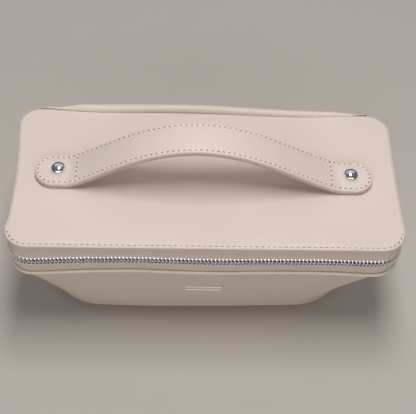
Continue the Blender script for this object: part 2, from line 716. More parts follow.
# %% Node tree: sewn row
sewn_tree, given, result = new_group(
    "sewn_row",
    LINE_INPUTS
    + [
        ("Thread Length", "Float", 2.1 * MM),
        ("Thread Thickness", "Float", 0.62 * MM),
        ("Hole Length", "Float", 1.9 * MM),
        ("Hole Width", "Float", 0.85 * MM),
    ]
    + CHANCE_INPUTS
    + [("Thread", "Material", None), ("Needle Hole", "Material", None)],
    [("Geometry", "Geometry")],
    "GeometryNodeTree",
)
half_pitch = math_node(sewn_tree, "DIVIDE", given.outputs["Pitch"], 2.0)
points, rotation, odd = put_along(sewn_tree, given, half_pitch)
even = math_node(sewn_tree, "SUBTRACT", 1.0, odd)
uneven = jitter(sewn_tree, given)
sewn_parts = []
for wanted, long_name, wide_name, finish_name, flatness in (
    (even, "Thread Length", "Thread Thickness", "Thread", 0.8),
    (odd, "Hole Length", "Hole Width", "Needle Hole", 0.28),
):
    bead = add(sewn_tree, "GeometryNodeMeshUVSphere", {"Segments": 8, "Rings": 5, "Radius": 0.5})
    wide = given.outputs[wide_name]
    shape = add(
        sewn_tree,
        "ShaderNodeCombineXYZ",
        {0: given.outputs[long_name], 1: wide, 2: math_node(sewn_tree, "MULTIPLY", wide, flatness)},
    )
    formed = add(
        sewn_tree,
        "GeometryNodeTransform",
        {"Geometry": bead.outputs["Mesh"], "Scale": shape.outputs["Vector"]},
    )
    sewn_parts.append(
        copies(
            sewn_tree,
            points,
            rotation,
            wanted,
            formed.outputs["Geometry"],
            uneven,
            given.outputs[finish_name],
        )
    )
joined = sewn_tree.nodes.new("GeometryNodeJoinGeometry")
for part in reversed(sewn_parts):
    sewn_tree.links.new(part, joined.inputs["Geometry"])
smooth_shade = add(sewn_tree, "GeometryNodeSetShadeSmooth", {"Geometry": joined.outputs["Geometry"]})
sewn_tree.links.new(smooth_shade.outputs["Geometry"], result.inputs["Geometry"])
print("tree", sewn_tree.name)

# %% [markdown]
# The two rows of teeth share one line, at twice the density of a row. One row takes the even points and the
# other the odd ones, so each tooth falls between two of the other row, as it does on a closed zip.

# %% Node tree: interlocking teeth
teeth_tree, given, result = new_group(
    "interlocking_teeth",
    LINE_INPUTS
    + [("Tooth", "Object", None), ("Odd Row", "Float", 0.0)]
    + CHANCE_INPUTS
    + [("Metal", "Material", None)],
    [("Geometry", "Geometry")],
    "GeometryNodeTree",
)
half_pitch = math_node(teeth_tree, "DIVIDE", given.outputs["Pitch"], 2.0)
points, rotation, odd = put_along(teeth_tree, given, half_pitch)
mine = math_node(teeth_tree, "COMPARE", odd, given.outputs["Odd Row"], 0.5)
tooth_shape = add(teeth_tree, "GeometryNodeObjectInfo", {"Object": given.outputs["Tooth"]})
row = copies(
    teeth_tree,
    points,
    rotation,
    mine,
    tooth_shape.outputs["Geometry"],
    jitter(teeth_tree, given),
    given.outputs["Metal"],
)
teeth_tree.links.new(row, result.inputs["Geometry"])
print("tree", teeth_tree.name)

# %% [markdown]
# Piping is a cord in a strip of leather, and a slider's bail is a bent wire. Both are a round section drawn
# along a line, so one tree makes both.

# %% Node tree: round section along a line
bead_tree, given, result = new_group(
    "bead_along",
    [
        ("Geometry", "Geometry", None),
        ("Radius", "Float", 1.2 * MM),
        ("Sides", "Int", 16),
        ("Finish", "Material", None),
    ],
    [("Geometry", "Geometry")],
    "GeometryNodeTree",
)
curve = add(bead_tree, "GeometryNodeMeshToCurve", {"Mesh": given.outputs["Geometry"]})
circle = add(
    bead_tree,
    "GeometryNodeCurvePrimitiveCircle",
    {"Resolution": given.outputs["Sides"], "Radius": given.outputs["Radius"]},
)
tube = add(
    bead_tree,
    "GeometryNodeCurveToMesh",
    {"Curve": curve.outputs["Curve"], "Profile Curve": circle.outputs["Curve"], "Fill Caps": True},
)
real = add(bead_tree, "GeometryNodeRealizeInstances", {"Geometry": tube.outputs["Mesh"]})
finished = add(
    bead_tree,
    "GeometryNodeSetMaterial",
    {"Geometry": real.outputs["Geometry"], "Material": given.outputs["Finish"]},
)
bead_tree.links.new(finished.outputs["Geometry"], result.inputs["Geometry"])
print("tree", bead_tree.name)

# %% Running a tree on a line
def line_mesh(name, lines):
    """A mesh of bare lines. Each line is (points, up directions, whether it closes)."""
    spots = np.concatenate([line[0] for line in lines])
    ups = np.concatenate([line[1] for line in lines])
    edges, first = [], 0
    for points, _, closed in lines:
        count = len(points)
        edges += [(first + i, first + i + 1) for i in range(count - 1)]
        if closed:
            edges.append((first + count - 1, first))
        first += count
    mesh = bpy.data.meshes.new(name)
    mesh.from_pydata(spots.tolist(), edges, [])
    attribute = mesh.attributes.new("up", "FLOAT_VECTOR", "POINT")
    attribute.data.foreach_set("vector", ups.astype(np.float32).ravel())
    return mesh


def run_tree(name, tree, mesh, values, weld=False):
    """The plain mesh that a node tree makes from a line."""
    carrier = bpy.data.objects.new(name + "_line", mesh)
    bpy.context.scene.collection.objects.link(carrier)
    modifier = carrier.modifiers.new("tree", "NODES")
    modifier.node_group = tree
    for item in tree.interface.items_tree:
        if item.in_out == "INPUT" and item.name in values:
            modifier[item.identifier] = values[item.name]
    bpy.context.view_layer.update()
    evaluated = carrier.evaluated_get(bpy.context.evaluated_depsgraph_get())
    made = bpy.data.meshes.new_from_object(evaluated)
    made.name = name
    carrier.modifiers.remove(modifier)
    bpy.data.objects.remove(carrier)
    if weld:
        work = bmesh.new()
        work.from_mesh(made)
        bmesh.ops.remove_doubles(work, verts=work.verts, dist=0.001 * MM)
        bmesh.ops.recalc_face_normals(work, faces=work.faces)
        work.to_mesh(made)
        work.free()
        made.shade_smooth()
    return made


def sew(name, lines, body, slot="blush_leather", **sizes):
    """A piece of stitching along some lines."""
    values = {"Thread": sewing_thread, "Needle Hole": needle_hole}
    values.update({key.replace("_", " ").title(): value for key, value in sizes.items()})
    return add_piece(name, run_tree(name, sewn_tree, line_mesh(name, lines), values), None, body, slot)


print("trees ready to run")

# %% [markdown]
# ## The lid
#
# The lid is one sheet of leather over a board. The leather is turned down round the board's edge, where it
# makes a soft roll, and along the front a row of stitches pulls a shallow channel just inside it.
# The skin runs from the middle of the top over the roll, under the rim and back inside, as the sheet does.

# %% Lid cover
ROLL_INSET, CHANNEL_INSET, RIM_REACH = 1.4 * MM, 1.9 * MM, 7 * MM
SHEET = 0.9 * MM
lid_spots, lid_out = outline(LID_X, LID_Y, LID_CORNER)
LID_SPINE = LID_X - LID_Y


def lid_dip(inset):
    """The stitch channel along the front, and the soft rise of the roll beside it."""
    channel = -0.4 * MM * hump(inset, CHANNEL_INSET, 0.55 * MM) - 0.35 * MM * hump(inset, 0, 3.2 * MM)
    return channel + 0.2 * MM * hump(inset, 1.1 * MM, 0.5 * MM)


def lid_swell(x, y):
    """The slow unevenness of the leather over the board, which dies away at the rim and under the tabs."""
    inside = ramp(LID_Y - np.abs(y), 2 * MM, 20 * MM) * ramp(LID_X - np.abs(x), 2 * MM, 24 * MM)
    tabs = 1 - hump(np.abs(x), 97 * MM, 22 * MM) * hump(y, 0, 20 * MM)
    waves = np.sin(x / (19 * MM) + 0.8) * np.cos(y / (15 * MM) + x / (60 * MM))
    waves = 0.5 * waves + 0.5 * np.sin(x / (33 * MM) - y / (21 * MM))
    sink = -0.5 * MM * (1 - (x / LID_X) ** 2) * (1 - (y / LID_Y) ** 2)
    return inside * tabs * (0.42 * MM * waves + sink)


top_insets = np.r_[np.linspace(LID_Y, RIM_REACH, 28)[:-1], np.linspace(RIM_REACH, ROLL_INSET, 20)]
outside = [(inset, 0.0) for inset in top_insets]
roll = rolled(ROLL_INSET, -1.45 * MM, ROLL_INSET, 1.4 * MM, 84, 205, 14)
roll += [(0.35 * MM, -2.35 * MM), (0.8 * MM, -2.55 * MM)]
under = [(1.6 * MM, -2.7 * MM), (2.3 * MM, -3.1 * MM), (2.6 * MM, -4.0 * MM), (6 * MM, -4.0 * MM)]
under += [(6 * MM, -3.2 * MM), (2.9 * MM, -3.0 * MM)]
inner_roll = [(1.6 * MM, -2.0 * MM), (1.1 * MM, -1.6 * MM), (1.5 * MM, -1.05 * MM)]
inside = [(inset, -SHEET - 0.1 * MM) for inset in (3 * MM, 5 * MM, RIM_REACH, 20 * MM, 38 * MM, LID_Y)]
lid_profile = outside + roll + under + inner_roll + inside
lid_grid = spread(lid_spots, lid_out, LID_Y, LID_SPINE, RIM_REACH, lid_profile)
sewn_front = ramp(-lid_spots[:, 1], 38 * MM, 50 * MM)
lid_grid[:, : len(top_insets), 2] += sewn_front[:, None] * lid_dip(top_insets)
lid_grid[..., 2] += TOP + lid_swell(lid_grid[..., 0], lid_grid[..., 1])
lid_edge = [math.exp(-((inset / (1.6 * MM)) ** 2)) * (height > -3 * MM) for inset, height in lid_profile]
lid_mesh = skin("lid_leather", settle(lid_grid), tube=False, edge=lid_edge)
add_piece("lid_leather", lid_mesh, blush_leather, "lid", "blush_leather", "lid_cover")

# %% [markdown]
# The stitches follow the front edge and both front corners in the channel. Along the sides the seam slides
# over the rolled edge and goes out of sight under it. They are about three and a half millimetres apart,
# which is what a heavy machine stitch on faux leather measures.

# %% Lid stitching
def rim_line(inset, height, closed=True, body_size=(LID_X, LID_Y, LID_CORNER)):
    """A settled line round the case at an inset from an outline, with the outward directions."""
    spots, away = outline(*body_size)
    spots, away = (spots, away) if closed else (spots[:ZIP_POINTS], away[:ZIP_POINTS])
    line = np.column_stack([spots - away * inset, np.full(len(spots), height)])
    return settle(line), away


def over_the_edge(spots, away):
    """A line along the front channel that slides over the rolled edge at the sides, with its facing."""
    along_side = ramp(spots[:, 1], -52 * MM, -34 * MM)
    inset = CHANNEL_INSET + (ROLL_INSET - CHANNEL_INSET) * np.minimum(2 * along_side, 1)
    turn = np.radians(150 * np.maximum(2 * along_side - 1, 0))
    inset = inset - (ROLL_INSET - 0.1 * MM) * np.sin(turn)
    height = TOP - 1.5 * MM + 1.3 * MM * np.cos(turn) - 0.35 * MM * (1 - np.minimum(2 * along_side, 1))
    line = settle(np.column_stack([spots - away * inset[:, None], height]))
    facing = np.column_stack([away * np.sin(turn)[:, None], np.cos(turn)])
    return line, facing


round_front = lid_spots[:, 1] < -33 * MM
line, facing = over_the_edge(lid_spots[round_front], lid_out[round_front])
sew("lid_stitching", [(line, facing, False)], "lid", pitch=3.6 * MM)

# %% [markdown]
# Inside the lid a lining is glued over the board, with a bound edge. It is a thin pad with a soft edge, a
# little smaller than the rim, and it shows only when the lid is open.

# %% Lid lining
LINING_INSET = 2.2 * MM
pad_spots, pad_out = outline(LID_X - LINING_INSET, LID_Y - LINING_INSET, LID_CORNER - LINING_INSET)
pad_half = LID_Y - LINING_INSET
pad_insets = np.r_[np.linspace(pad_half, 4 * MM, 22), 3 * MM, 2 * MM, 1.2 * MM]
face = [(inset, -0.45 * MM * (1 - math.exp(-inset / (5 * MM)))) for inset in pad_insets]
binding = rolled(0.8 * MM, 0.3 * MM, 0.8 * MM, 0.6 * MM, 270, 90, 10)
back = [(3 * MM, 0.9 * MM), (20 * MM, 0.9 * MM), (pad_half, 0.9 * MM)]
pad_grid = spread(pad_spots, pad_out, pad_half, LID_SPINE, 4 * MM, face + binding + back)
pad_grid[..., 2] += LID_BOTTOM
pad_mesh = skin("lid_inner_lining", settle(pad_grid), tube=False)
add_piece("lid_inner_lining", pad_mesh, lining_cloth, "lid", "lining_cloth", "lid_lining")
core_low, core_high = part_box("lid_board")
core_spots, core_out = outline(core_high.x, core_high.y, LID_CORNER - 1.2 * MM)
core_middle, core_half = (core_low.z + core_high.z) / 2, (core_high.z - core_low.z) / 2
core_profile = [(core_high.y, core_high.z), (20 * MM, core_high.z), (2 * MM, core_high.z)]
core_profile += rolled(0.3 * MM, core_middle, 0.3 * MM, core_half, 80, 280, 6)
core_profile += [(2 * MM, core_low.z), (core_high.y, core_low.z)]
core_grid = spread(core_spots, core_out, core_high.y, core_high.x - core_high.y, 4 * MM, core_profile)
core_mesh = skin("lid_stiffening", settle(core_grid), tube=False)
add_piece("lid_stiffening", core_mesh, stiffener_sheet, "lid", "stiffener_sheet", "lid_board")
line, _ = rim_line(LINING_INSET + 2.4 * MM, LID_BOTTOM - 0.35 * MM)
straight_down = np.tile([0.0, 0.0, -1.0], (len(line), 1))
sew("lid_lining_stitching", [(line, straight_down, True)], "lid", "lining_cloth", pitch=4 * MM, seed=3)

# %% [markdown]
# ## The zip
#
# A zip tape is a strip of twill with a cord woven into one edge, and the metal teeth are clamped on that
# cord. Each tape is a band that stands up round the case, with the cord as a bump in its section. The upper
# tape hangs from the lid and the lower one stands on the body.

# %% Zip tapes
tape_spots, tape_out = outline(TAPE_X, TAPE_Y, TAPE_CORNER)
tape_spots, tape_out = tape_spots[:ZIP_POINTS], tape_out[:ZIP_POINTS]


def tape_section(sewn_edge, cord_edge):
    """(outward, height, lean) round a tape's section, from its sewn edge to its cord and back. The lean is
    -1 at the sewn edge and 1 at the cord."""
    toward = np.sign(cord_edge - sewn_edge)
    heights = np.linspace(sewn_edge, cord_edge - toward * 1.4 * MM, 11)
    outer = [(0.0, height, lean) for height, lean in zip(heights, np.linspace(-1, 1, 11))]
    inner = [(-TAPE_THICKNESS, height, lean) for _, height, lean in outer]
    centre = cord_edge - toward * 0.7 * MM
    angles = np.radians(np.linspace(140, -140, 9))
    cord = [
        (
            -TAPE_THICKNESS / 2 + 0.85 * MM * math.sin(angle),
            centre - toward * 0.75 * MM * math.cos(angle),
            1.0,
        )
        for angle in angles
    ]
    return outer + cord + inner[::-1]


def front_share(spots):
    """1 along the front, and 0 on the sides and the back."""
    return ramp(-spots[:, 1], 36 * MM, 52 * MM)


FRONT_BULGE = 1.4 * MM
CORD_SHARE, TOOTH_SHARE = 1.2, 1.3
SEAM_FROM = 0.7


def band(section, spots, away, seam_depth, sewn_share):
    """A grid of the section carried along the spots. The zip bulges outwards along the front, so each tape
    leans out there, from its own share of the bulge at its seam to the cord's share, and dips in the seam."""
    columns = []
    for out, height, lean in section:
        sunk = seam_depth * max(-lean - SEAM_FROM, 0) / (1 - SEAM_FROM)
        bulge = FRONT_BULGE * (sewn_share + (CORD_SHARE - sewn_share) * (lean + 1) / 2)
        shift = out - sunk + front_share(spots) * bulge
        columns.append(np.column_stack([spots + away * shift[:, None], np.full(len(spots), height)]))
    return settle(np.stack(columns, axis=1))


UPPER_CORD, LOWER_CORD = ZIP_HEIGHT + 1.9 * MM, ZIP_HEIGHT - 1.9 * MM
upper_section = tape_section(LID_BOTTOM + 0.6 * MM, UPPER_CORD)
upper_band = band(upper_section, tape_spots, tape_out, 1.0 * MM, -0.6)
upper_mesh = skin("upper_zip_tape", upper_band, around=False)
add_piece("upper_zip_tape", upper_mesh, zip_twill, "lid", "zip_tape", "zip_tape_upper")
lower_section = tape_section(lower_tape_low.z - 1.0 * MM, LOWER_CORD)
lower_band = band(lower_section, tape_spots, tape_out, 0.4 * MM, 0.2)
lower_mesh = skin("lower_zip_tape", lower_band, around=False)
add_piece("lower_zip_tape", lower_mesh, zip_twill, "case", "zip_tape", "zip_tape_lower")

# %% [markdown]
# A metal tooth is a small stamped jaw: wide where it grips the cord, narrower along its shank, and with a
# rounded head that drops between its neighbours. Its foot is cut at a slope, which catches the light, and
# its shank leans, so the closed rows read as a chevron. It is lofted from a few rounded squares, mirrored
# for the lower row, and has only a few dozen faces.

# %% Tooth
def loft(name, stages, sides=8):
    """A small closed solid through level rounded squares of (x, y, half width, half depth, height)."""
    angles = np.radians(np.arange(sides) * 360 / sides + 180 / sides)
    corner = np.column_stack([np.cos(angles), np.sin(angles)])
    square = np.sign(corner) * np.abs(corner) ** 0.7
    rows = [
        np.column_stack([x + wide * square[:, 0], y + deep * square[:, 1], np.full(sides, height)])
        for x, y, wide, deep, height in stages
    ]
    grid = np.stack(rows, axis=0)
    return skin(name, grid, around=False)


def tooth(name, way):
    """One tooth, whose shank runs from the cord to the far side of the zip's middle line."""
    stages = [
        (-1.15, 0.0, 0.46, 0.60, 3.95),
        (-1.10, 0.0, 0.62, 1.38, 3.05),
        (-0.75, 0.0, 0.50, 1.42, 2.3),
        (-0.10, 0.0, 0.38, 1.32, 1.1),
        (0.38, 0.0, 0.48, 1.26, 0.0),
        (0.58, 0.0, 0.42, 1.05, -0.6),
        (0.66, 0.0, 0.22, 0.6, -1.0),
    ]
    scaled = [(x * MM, y * MM, w * MM, d * MM, way * h * MM) for x, y, w, d, h in stages]
    holder = bpy.data.objects.new(name, loft(name, scaled))
    bpy.context.scene.collection.objects.link(holder)
    return holder


TOOTH_PITCH = 2.4 * MM
bulge = front_share(tape_spots) * FRONT_BULGE * TOOTH_SHARE
middle = tape_spots + tape_out * (bulge - TAPE_THICKNESS / 2)[:, None]
zip_line = settle(np.column_stack([middle, np.full(len(middle), ZIP_HEIGHT)]))
upwards = np.tile([0.0, 0.0, 1.0], (len(zip_line), 1))
for word, way, parity, body in (("upper", 1, 0.0, "lid"), ("lower", -1, 1.0, "case")):
    shape = tooth(word + "_tooth", way)
    values = {"Tooth": shape, "Pitch": TOOTH_PITCH, "Odd Row": parity, "Metal": tooth_nickel}
    values["Unevenness"] = 0.03
    line = line_mesh(word + "_teeth", [(zip_line, upwards, False)])
    made = run_tree(word + "_teeth", teeth_tree, line, values)
    made.shade_smooth()
    made.set_sharp_from_angle(angle=math.radians(30))
    bpy.data.objects.remove(shape)
    add_piece(word + "_zip_teeth", made, None, body, "bright_nickel", "zip_teeth_" + word)

# %% [markdown]
# Each end of the zip is closed by a stop, a strip of metal folded over the tape and crimped. It is lofted
# like a tooth, but longer and rounder.

# %% Zip stops
for word in ("left", "right"):
    low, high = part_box("zip_stop_" + word)
    centre, size = (low + high) / 2, (high - low) / 2
    stages = [
        (centre.x, centre.y, size.x * wide, size.y * deep, centre.z + size.z * level)
        for wide, deep, level in (
            (0.5, 0.5, -1.0),
            (0.95, 0.95, -0.85),
            (1.0, 1.05, -0.4),
            (0.85, 0.9, 0.0),
            (1.0, 1.05, 0.4),
            (0.95, 0.95, 0.85),
            (0.5, 0.5, 1.0),
        )
    ]
    stop_mesh = loft("zip_end_stop_" + word, stages, 12)
    add_piece("zip_end_stop_" + word, stop_mesh, bright_nickel, "case", "bright_nickel", "zip_stop_" + word)

# %% [markdown]
# ## The bead and the body
#
# A leather bead covers the seam between the lower tape and the body. It wavers as hand-guided piping does.
# The stitches that hold it show as a dark broken line on the tape, tight against the bead.

# %% Bead
bead_spots, bead_away = outline(TAPE_X, TAPE_Y, TAPE_CORNER)
bead_stand = 1.0 * MM * front_share(bead_spots) - 0.15 * MM
bead_line = settle(
    np.column_stack([bead_spots + bead_away * bead_stand[:, None], np.full(len(bead_spots), BEAD_HEIGHT)])
)
bead_values = {"Radius": BEAD_RADIUS, "Sides": 18, "Finish": piping_leather}
bead_mesh = line_mesh("bead", [(bead_line, np.zeros_like(bead_line) + [0, 0, 1.0], True)])
made = run_tree("piping_bead", bead_tree, bead_mesh, bead_values, weld=True)
add_piece("piping_bead", made, None, "case", "blush_leather", "body_piping")
seam_height = BEAD_HEIGHT + BEAD_RADIUS + 0.3 * MM
seam_line, seam_away = rim_line(0.35 * MM, seam_height, False, (TAPE_X, TAPE_Y, TAPE_CORNER))
facing = np.column_stack([seam_away, np.zeros(len(seam_away))])
sew(
    "bead_stitching",
    [(seam_line, facing, False)],
    "case",
    "zip_tape",
    pitch=3.2 * MM,
    thread_length=1.2 * MM,
    thread_thickness=0.35 * MM,
    hole_length=1.6 * MM,
    hole_width=0.35 * MM,
    seed=11,
)

# %% [markdown]
# The body is soft leather over a thin stiffener. It could be five flat panels, but the real one is sewn in
# the round: it tapers towards the base, its corners open out on the way down, the long panels belly out, most
# on the left, and the corners at the right end draw in. It turns in under the case with a full round edge,
# and its base sits a little to the left. So it is lofted from outlines at many heights.

# %% Body leather
BASE_SHIFT = 2.6 * MM
LONG_BELLY, BELLY_LEAN, SHORT_BELLY = 3.6 * MM, 2.0 * MM, 0.6 * MM
RIGHT_DRAW = 4.7 * MM


def body_plan(height, depth):
    """The half sizes and the corner of the body's plan at a height, at a depth inside its outer face."""
    turn = BASE_TURN - depth
    fall = max(BASE_TURN - height, 0.0)
    turned_in = BASE_TURN - math.sqrt(max(turn**2 - fall**2, 0.0)) if fall else depth
    share = min((BODY_TOP - height) / (BODY_TOP - BASE_TURN), 1.0)
    corner = TAPE_CORNER + (BASE_CORNER - TAPE_CORNER) * share - turned_in
    return BODY_X - TAPER_X * share - turned_in, BODY_Y - TAPER_Y * share - turned_in, max(corner, 3 * MM)


def body_ring(height, depth):
    """One level ring of the body's skin, with its panels' belly and its right corners drawn in."""
    half_x, half_y, corner = body_plan(height, depth)
    spots, away = outline(half_x, half_y, corner)
    share = np.clip((height - 2 * MM) / (BODY_TOP - 2 * MM), 0, 1)
    swell = math.sin(math.pi * share**0.48)
    along = spots[:, 0] / half_x
    long_side = (1 - along**2) * np.abs(away[:, 1]) * (LONG_BELLY - BELLY_LEAN * along)
    short_side = (1 - (spots[:, 1] / half_y) ** 4) * np.abs(away[:, 0]) * SHORT_BELLY
    drop = max(BODY_TOP - height, 0.0) / BODY_TOP
    drawn = math.sin(math.pi * drop**0.8)
    corner_share = 2 * np.abs(away[:, 0] * away[:, 1])
    sink = drawn * corner_share * np.where(spots[:, 0] > 0, RIGHT_DRAW, 0.0)
    spots = spots + away * (swell * (long_side + short_side) - sink)[:, None]
    spots[:, 0] -= BASE_SHIFT * (BODY_TOP - height) / BODY_TOP
    return np.column_stack([spots, np.full(len(spots), height)])


def body_heights(depth, low, high):
    """Heights for the rings: close together round the base's edge, and even above it."""
    turn = BASE_TURN - depth
    angles = np.radians(np.linspace(0, 90, 15))
    curve = BASE_TURN - turn * np.cos(angles)
    return np.r_[curve[curve >= low], np.linspace(BASE_TURN, high, 26)[1:]]


def shell(name, depth, thickness, low, high):
    """A thin wall between two skins at different depths, closed at its top and bottom rims."""
    outer = [body_ring(height, depth) for height in body_heights(depth, low, high)]
    inner = [body_ring(height, depth + thickness) for height in body_heights(depth + thickness, low, high)]
    return skin(name, settle(np.stack(outer + inner[::-1], axis=1)))


body_mesh = shell("body_leather", 0.0, 1.1 * MM, 0.0, BODY_TOP + 0.4 * MM)
add_piece("body_leather", body_mesh, blush_leather, "case", "blush_leather", "body_wall")
stiff_mesh = shell("wall_stiffening", 1.5 * MM, 1.2 * MM, 0.0, 71 * MM)
add_piece("wall_stiffening", stiff_mesh, stiffener_sheet, "case", "stiffener_sheet", "wall_stiffener")

# %% [markdown]
# Underneath, a separate oblong of leather closes the base, stitched round its edge. The inside is lined:
# the wall lining rises past the bead to the tape, so that no seam shows when the case is open, and its upper
# edge is bound. A loose lining puckers, so its inner face gets soft upright folds.

# %% Base panel
def base_slab(name, margin, corner, low, high, rim, dip):
    """A flat piece across the base with a rounded rim, that much smaller than the opening under it."""
    half_x, half_y, _ = body_plan(0.0, 0.0)
    half_x, half_y = half_x - margin, half_y - margin
    spots, away = outline(half_x, half_y, corner)
    middle = (low + high) / 2
    profile = [(half_y, low), (12 * MM, low), (4 * MM, low), (2.2 * MM, low + dip), (1.2 * MM, low)]
    profile += rolled(rim, middle, rim, (high - low) / 2, 260, 100, 8)
    profile += [(1.5 * MM, high), (12 * MM, high), (half_y, high)]
    grid = spread(spots, away, half_y, half_x - half_y, 4 * MM, profile)
    grid[..., 0] -= BASE_SHIFT
    seam = np.column_stack([spots - away * 2.2 * MM, np.full(len(spots), low + dip)])
    seam[:, 0] -= BASE_SHIFT
    return skin(name, grid, tube=False), seam


BASE_MARGIN = 0.4 * MM
slab_corner = body_plan(0.0, 0.0)[2] - BASE_MARGIN
base_mesh, seam = base_slab("base_leather", BASE_MARGIN, slab_corner, 0.0, 1.1 * MM, 0.5 * MM, 0.3 * MM)
add_piece("base_leather", base_mesh, blush_leather, "case", "blush_leather", "base_panel")
down = np.tile([0.0, 0.0, -1.0], (len(seam), 1))
sew("base_stitching", [(seam, down, True)], "case", pitch=4 * MM, seed=5)
board_low, board_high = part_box("base_board")
board_mesh, _ = base_slab("base_stiffening", 0.6 * MM, 20 * MM, board_low.z, board_high.z, 0.3 * MM, 0.0)
add_piece("base_stiffening", board_mesh, stiffener_sheet, "case", "stiffener_sheet", "base_board")

# %% Inner lining
LINING_DEPTH = 3.1 * MM
folds = np.random.default_rng(12)
fold_phase = folds.uniform(0, 2 * math.pi, 3)
inner_rows, outer_rows = [], []
lining_heights = np.r_[np.linspace(4.2 * MM, 70 * MM, 26), 72 * MM, 73.5 * MM, 75 * MM, 76.2 * MM, 76.8 * MM]
collar, away = outline(TAPE_X - 2.1 * MM, TAPE_Y - 2.1 * MM, TAPE_CORNER - 2.1 * MM)
for height in lining_heights:
    rise = np.clip((height - 70 * MM) / (5 * MM), 0, 1)
    below = body_ring(min(height, 70 * MM), LINING_DEPTH)[:, :2]
    spots = below + rise * (collar - below)
    way = np.arange(len(spots)) / len(spots) * 2 * math.pi
    pucker = sum(np.sin(way * turns + phase) for turns, phase in zip((31, 47, 71), fold_phase))
    loose = math.sin(math.pi * np.clip(height / (72 * MM), 0, 1)) * 0.16 * MM
    bound = 0.25 * MM * (73.8 * MM < height < 76.5 * MM)
    inner = spots - away * (0.7 * MM + bound + loose * (pucker + 1.5))[:, None]
    outer_rows.append(np.column_stack([spots, np.full(len(spots), height)]))
    inner_rows.append(np.column_stack([inner, np.full(len(spots), height)]))
lining_mesh = skin("inner_wall_lining", settle(np.stack(outer_rows + inner_rows[::-1], axis=1)))
add_piece("inner_wall_lining", lining_mesh, lining_cloth, "case", "lining_cloth", "wall_lining")

floor_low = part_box("base_lining")[0]
inside_x, inside_y, inside_corner = body_plan(floor_low.z + 0.4 * MM, LINING_DEPTH + 0.9 * MM)
spots, away = outline(inside_x, inside_y, inside_corner)
floor_profile = [(inside_y, 1.0 * MM), (20 * MM, 0.95 * MM), (6 * MM, 0.8 * MM)]
floor_profile += rolled(0.5 * MM, 0.35 * MM, 0.5 * MM, 0.35 * MM, 100, 260, 6)
floor_profile += [(6 * MM, 0.0), (inside_y, 0.0)]
floor_grid = spread(spots, away, inside_y, inside_x - inside_y, 6 * MM, floor_profile)
floor_grid += [-BASE_SHIFT, 0, floor_low.z]
floor_mesh = skin("inner_base_lining", floor_grid, tube=False)
add_piece("inner_base_lining", floor_mesh, lining_cloth, "case", "lining_cloth", "base_lining")

# %% [markdown]
# ## The hinge
#
# Behind the lid the leather makes a soft roll and runs down the back: that is all the hinge there is. The
# roll is fullest from the left to the middle, thins out to the right, and sinks away at both ends. It
# crosses the joint, so it bends between the case and the lid as the lid opens.

# %% Hinge roll
def through(points, steps):
    """A smooth line through a few points, with the same number of steps between each two."""
    points = np.array(points, float)
    padded = np.vstack([2 * points[0] - points[1], points, 2 * points[-1] - points[-2]])
    made = []
    for a, b, c, d in zip(padded, padded[1:], padded[2:], padded[3:]):
        for share in np.arange(steps) / steps:
            curve = 2 * b + (c - a) * share + (2 * a - 5 * b + 4 * c - d) * share**2
            made.append((curve + (3 * b - a - 3 * c + d) * share**3) / 2)
    return np.vstack([made, points[-1]])


hinge_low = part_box("hinge_panel")[0]
# The fold from left to right, in millimetres: (place along the back, where it starts, its radius).
FOLD = [
    (-114, 57.4, 0.6),
    (-107, 57.0, 1.8),
    (-100, 56.6, 2.6),
    (-90, 54.9, 3.0),
    (-72, 53.7, 3.4),
    (-32, 54.9, 3.3),
    (2, 54.6, 3.5),
    (34, 53.0, 3.2),
    (68, 52.4, 2.7),
    (92, 53.6, 2.1),
    (104, 55.0, 1.3),
    (113, 56.0, 0.6),
]
FOLD_X, FOLD_START, FOLD_RADIUS = np.array(FOLD).T * MM


def evened(values, x):
    """The value at x along the fold, with its corners smoothed away."""
    near = x + np.linspace(-8, 8, 17) * MM
    return float(np.mean(np.interp(near, FOLD_X, values)))


def hinge_section(x):
    """The (y, z) points round the hinge leather's section at one place along the back."""
    start, radius = evened(FOLD_START, x), evened(FOLD_RADIUS, x)
    sink = 0.9 * max(ramp(-x, 80 * MM, 101 * MM), ramp(x, 86 * MM, 106 * MM))
    centre_y, centre_z = start + radius * math.cos(math.asin(sink)), TOP - 0.2 * MM - sink * radius
    angles = np.radians(np.linspace(176 - math.degrees(math.asin(sink)), -38, 24))
    arc = np.column_stack([centre_y + radius * np.cos(angles), centre_z + radius * np.sin(angles)])
    foot_y, foot_z = TAPE_Y + 0.2 * MM, hinge_low.z - 0.6 * MM
    back_y = min(arc[-1][0] - 0.4 * MM, TAPE_Y + 2.6 * MM)
    back = through([arc[-1], (back_y, 91 * MM), (TAPE_Y + 0.9 * MM, 83 * MM), (foot_y, foot_z)], 6)
    inner = through([(hinge_low.y, foot_z), (hinge_low.y, 88 * MM), (hinge_low.y + 0.4 * MM, 97 * MM)], 6)
    behind_lid = max(LID_Y + 0.3 * MM, start)
    lip_y = max(start + 0.5 * MM, LID_Y - 3 * MM)
    over_lid = [(behind_lid, 97.6 * MM), (behind_lid, 101.0 * MM), (lip_y, 102.1 * MM)]
    return np.vstack([arc, back[1:], inner, over_lid])


FOLD_HALF = 112 * MM
stations = np.r_[-1, np.linspace(-0.994, 0.994, 120), 1]
hinge_rows = []
for share in stations:
    section = hinge_section(share * FOLD_HALF)
    half = HINGE_HALF + (FOLD_HALF - HINGE_HALF) * ramp(section[:, 1], 95 * MM, 101 * MM)
    hinge_rows.append(np.column_stack([share * half, section]))
hinge_mesh = skin("hinge_leather", np.stack(hinge_rows, axis=0), around=False)
hinge_leather = add_piece("hinge_leather", hinge_mesh, blush_leather, None, "blush_leather", "hinge_panel")
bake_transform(hinge_leather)

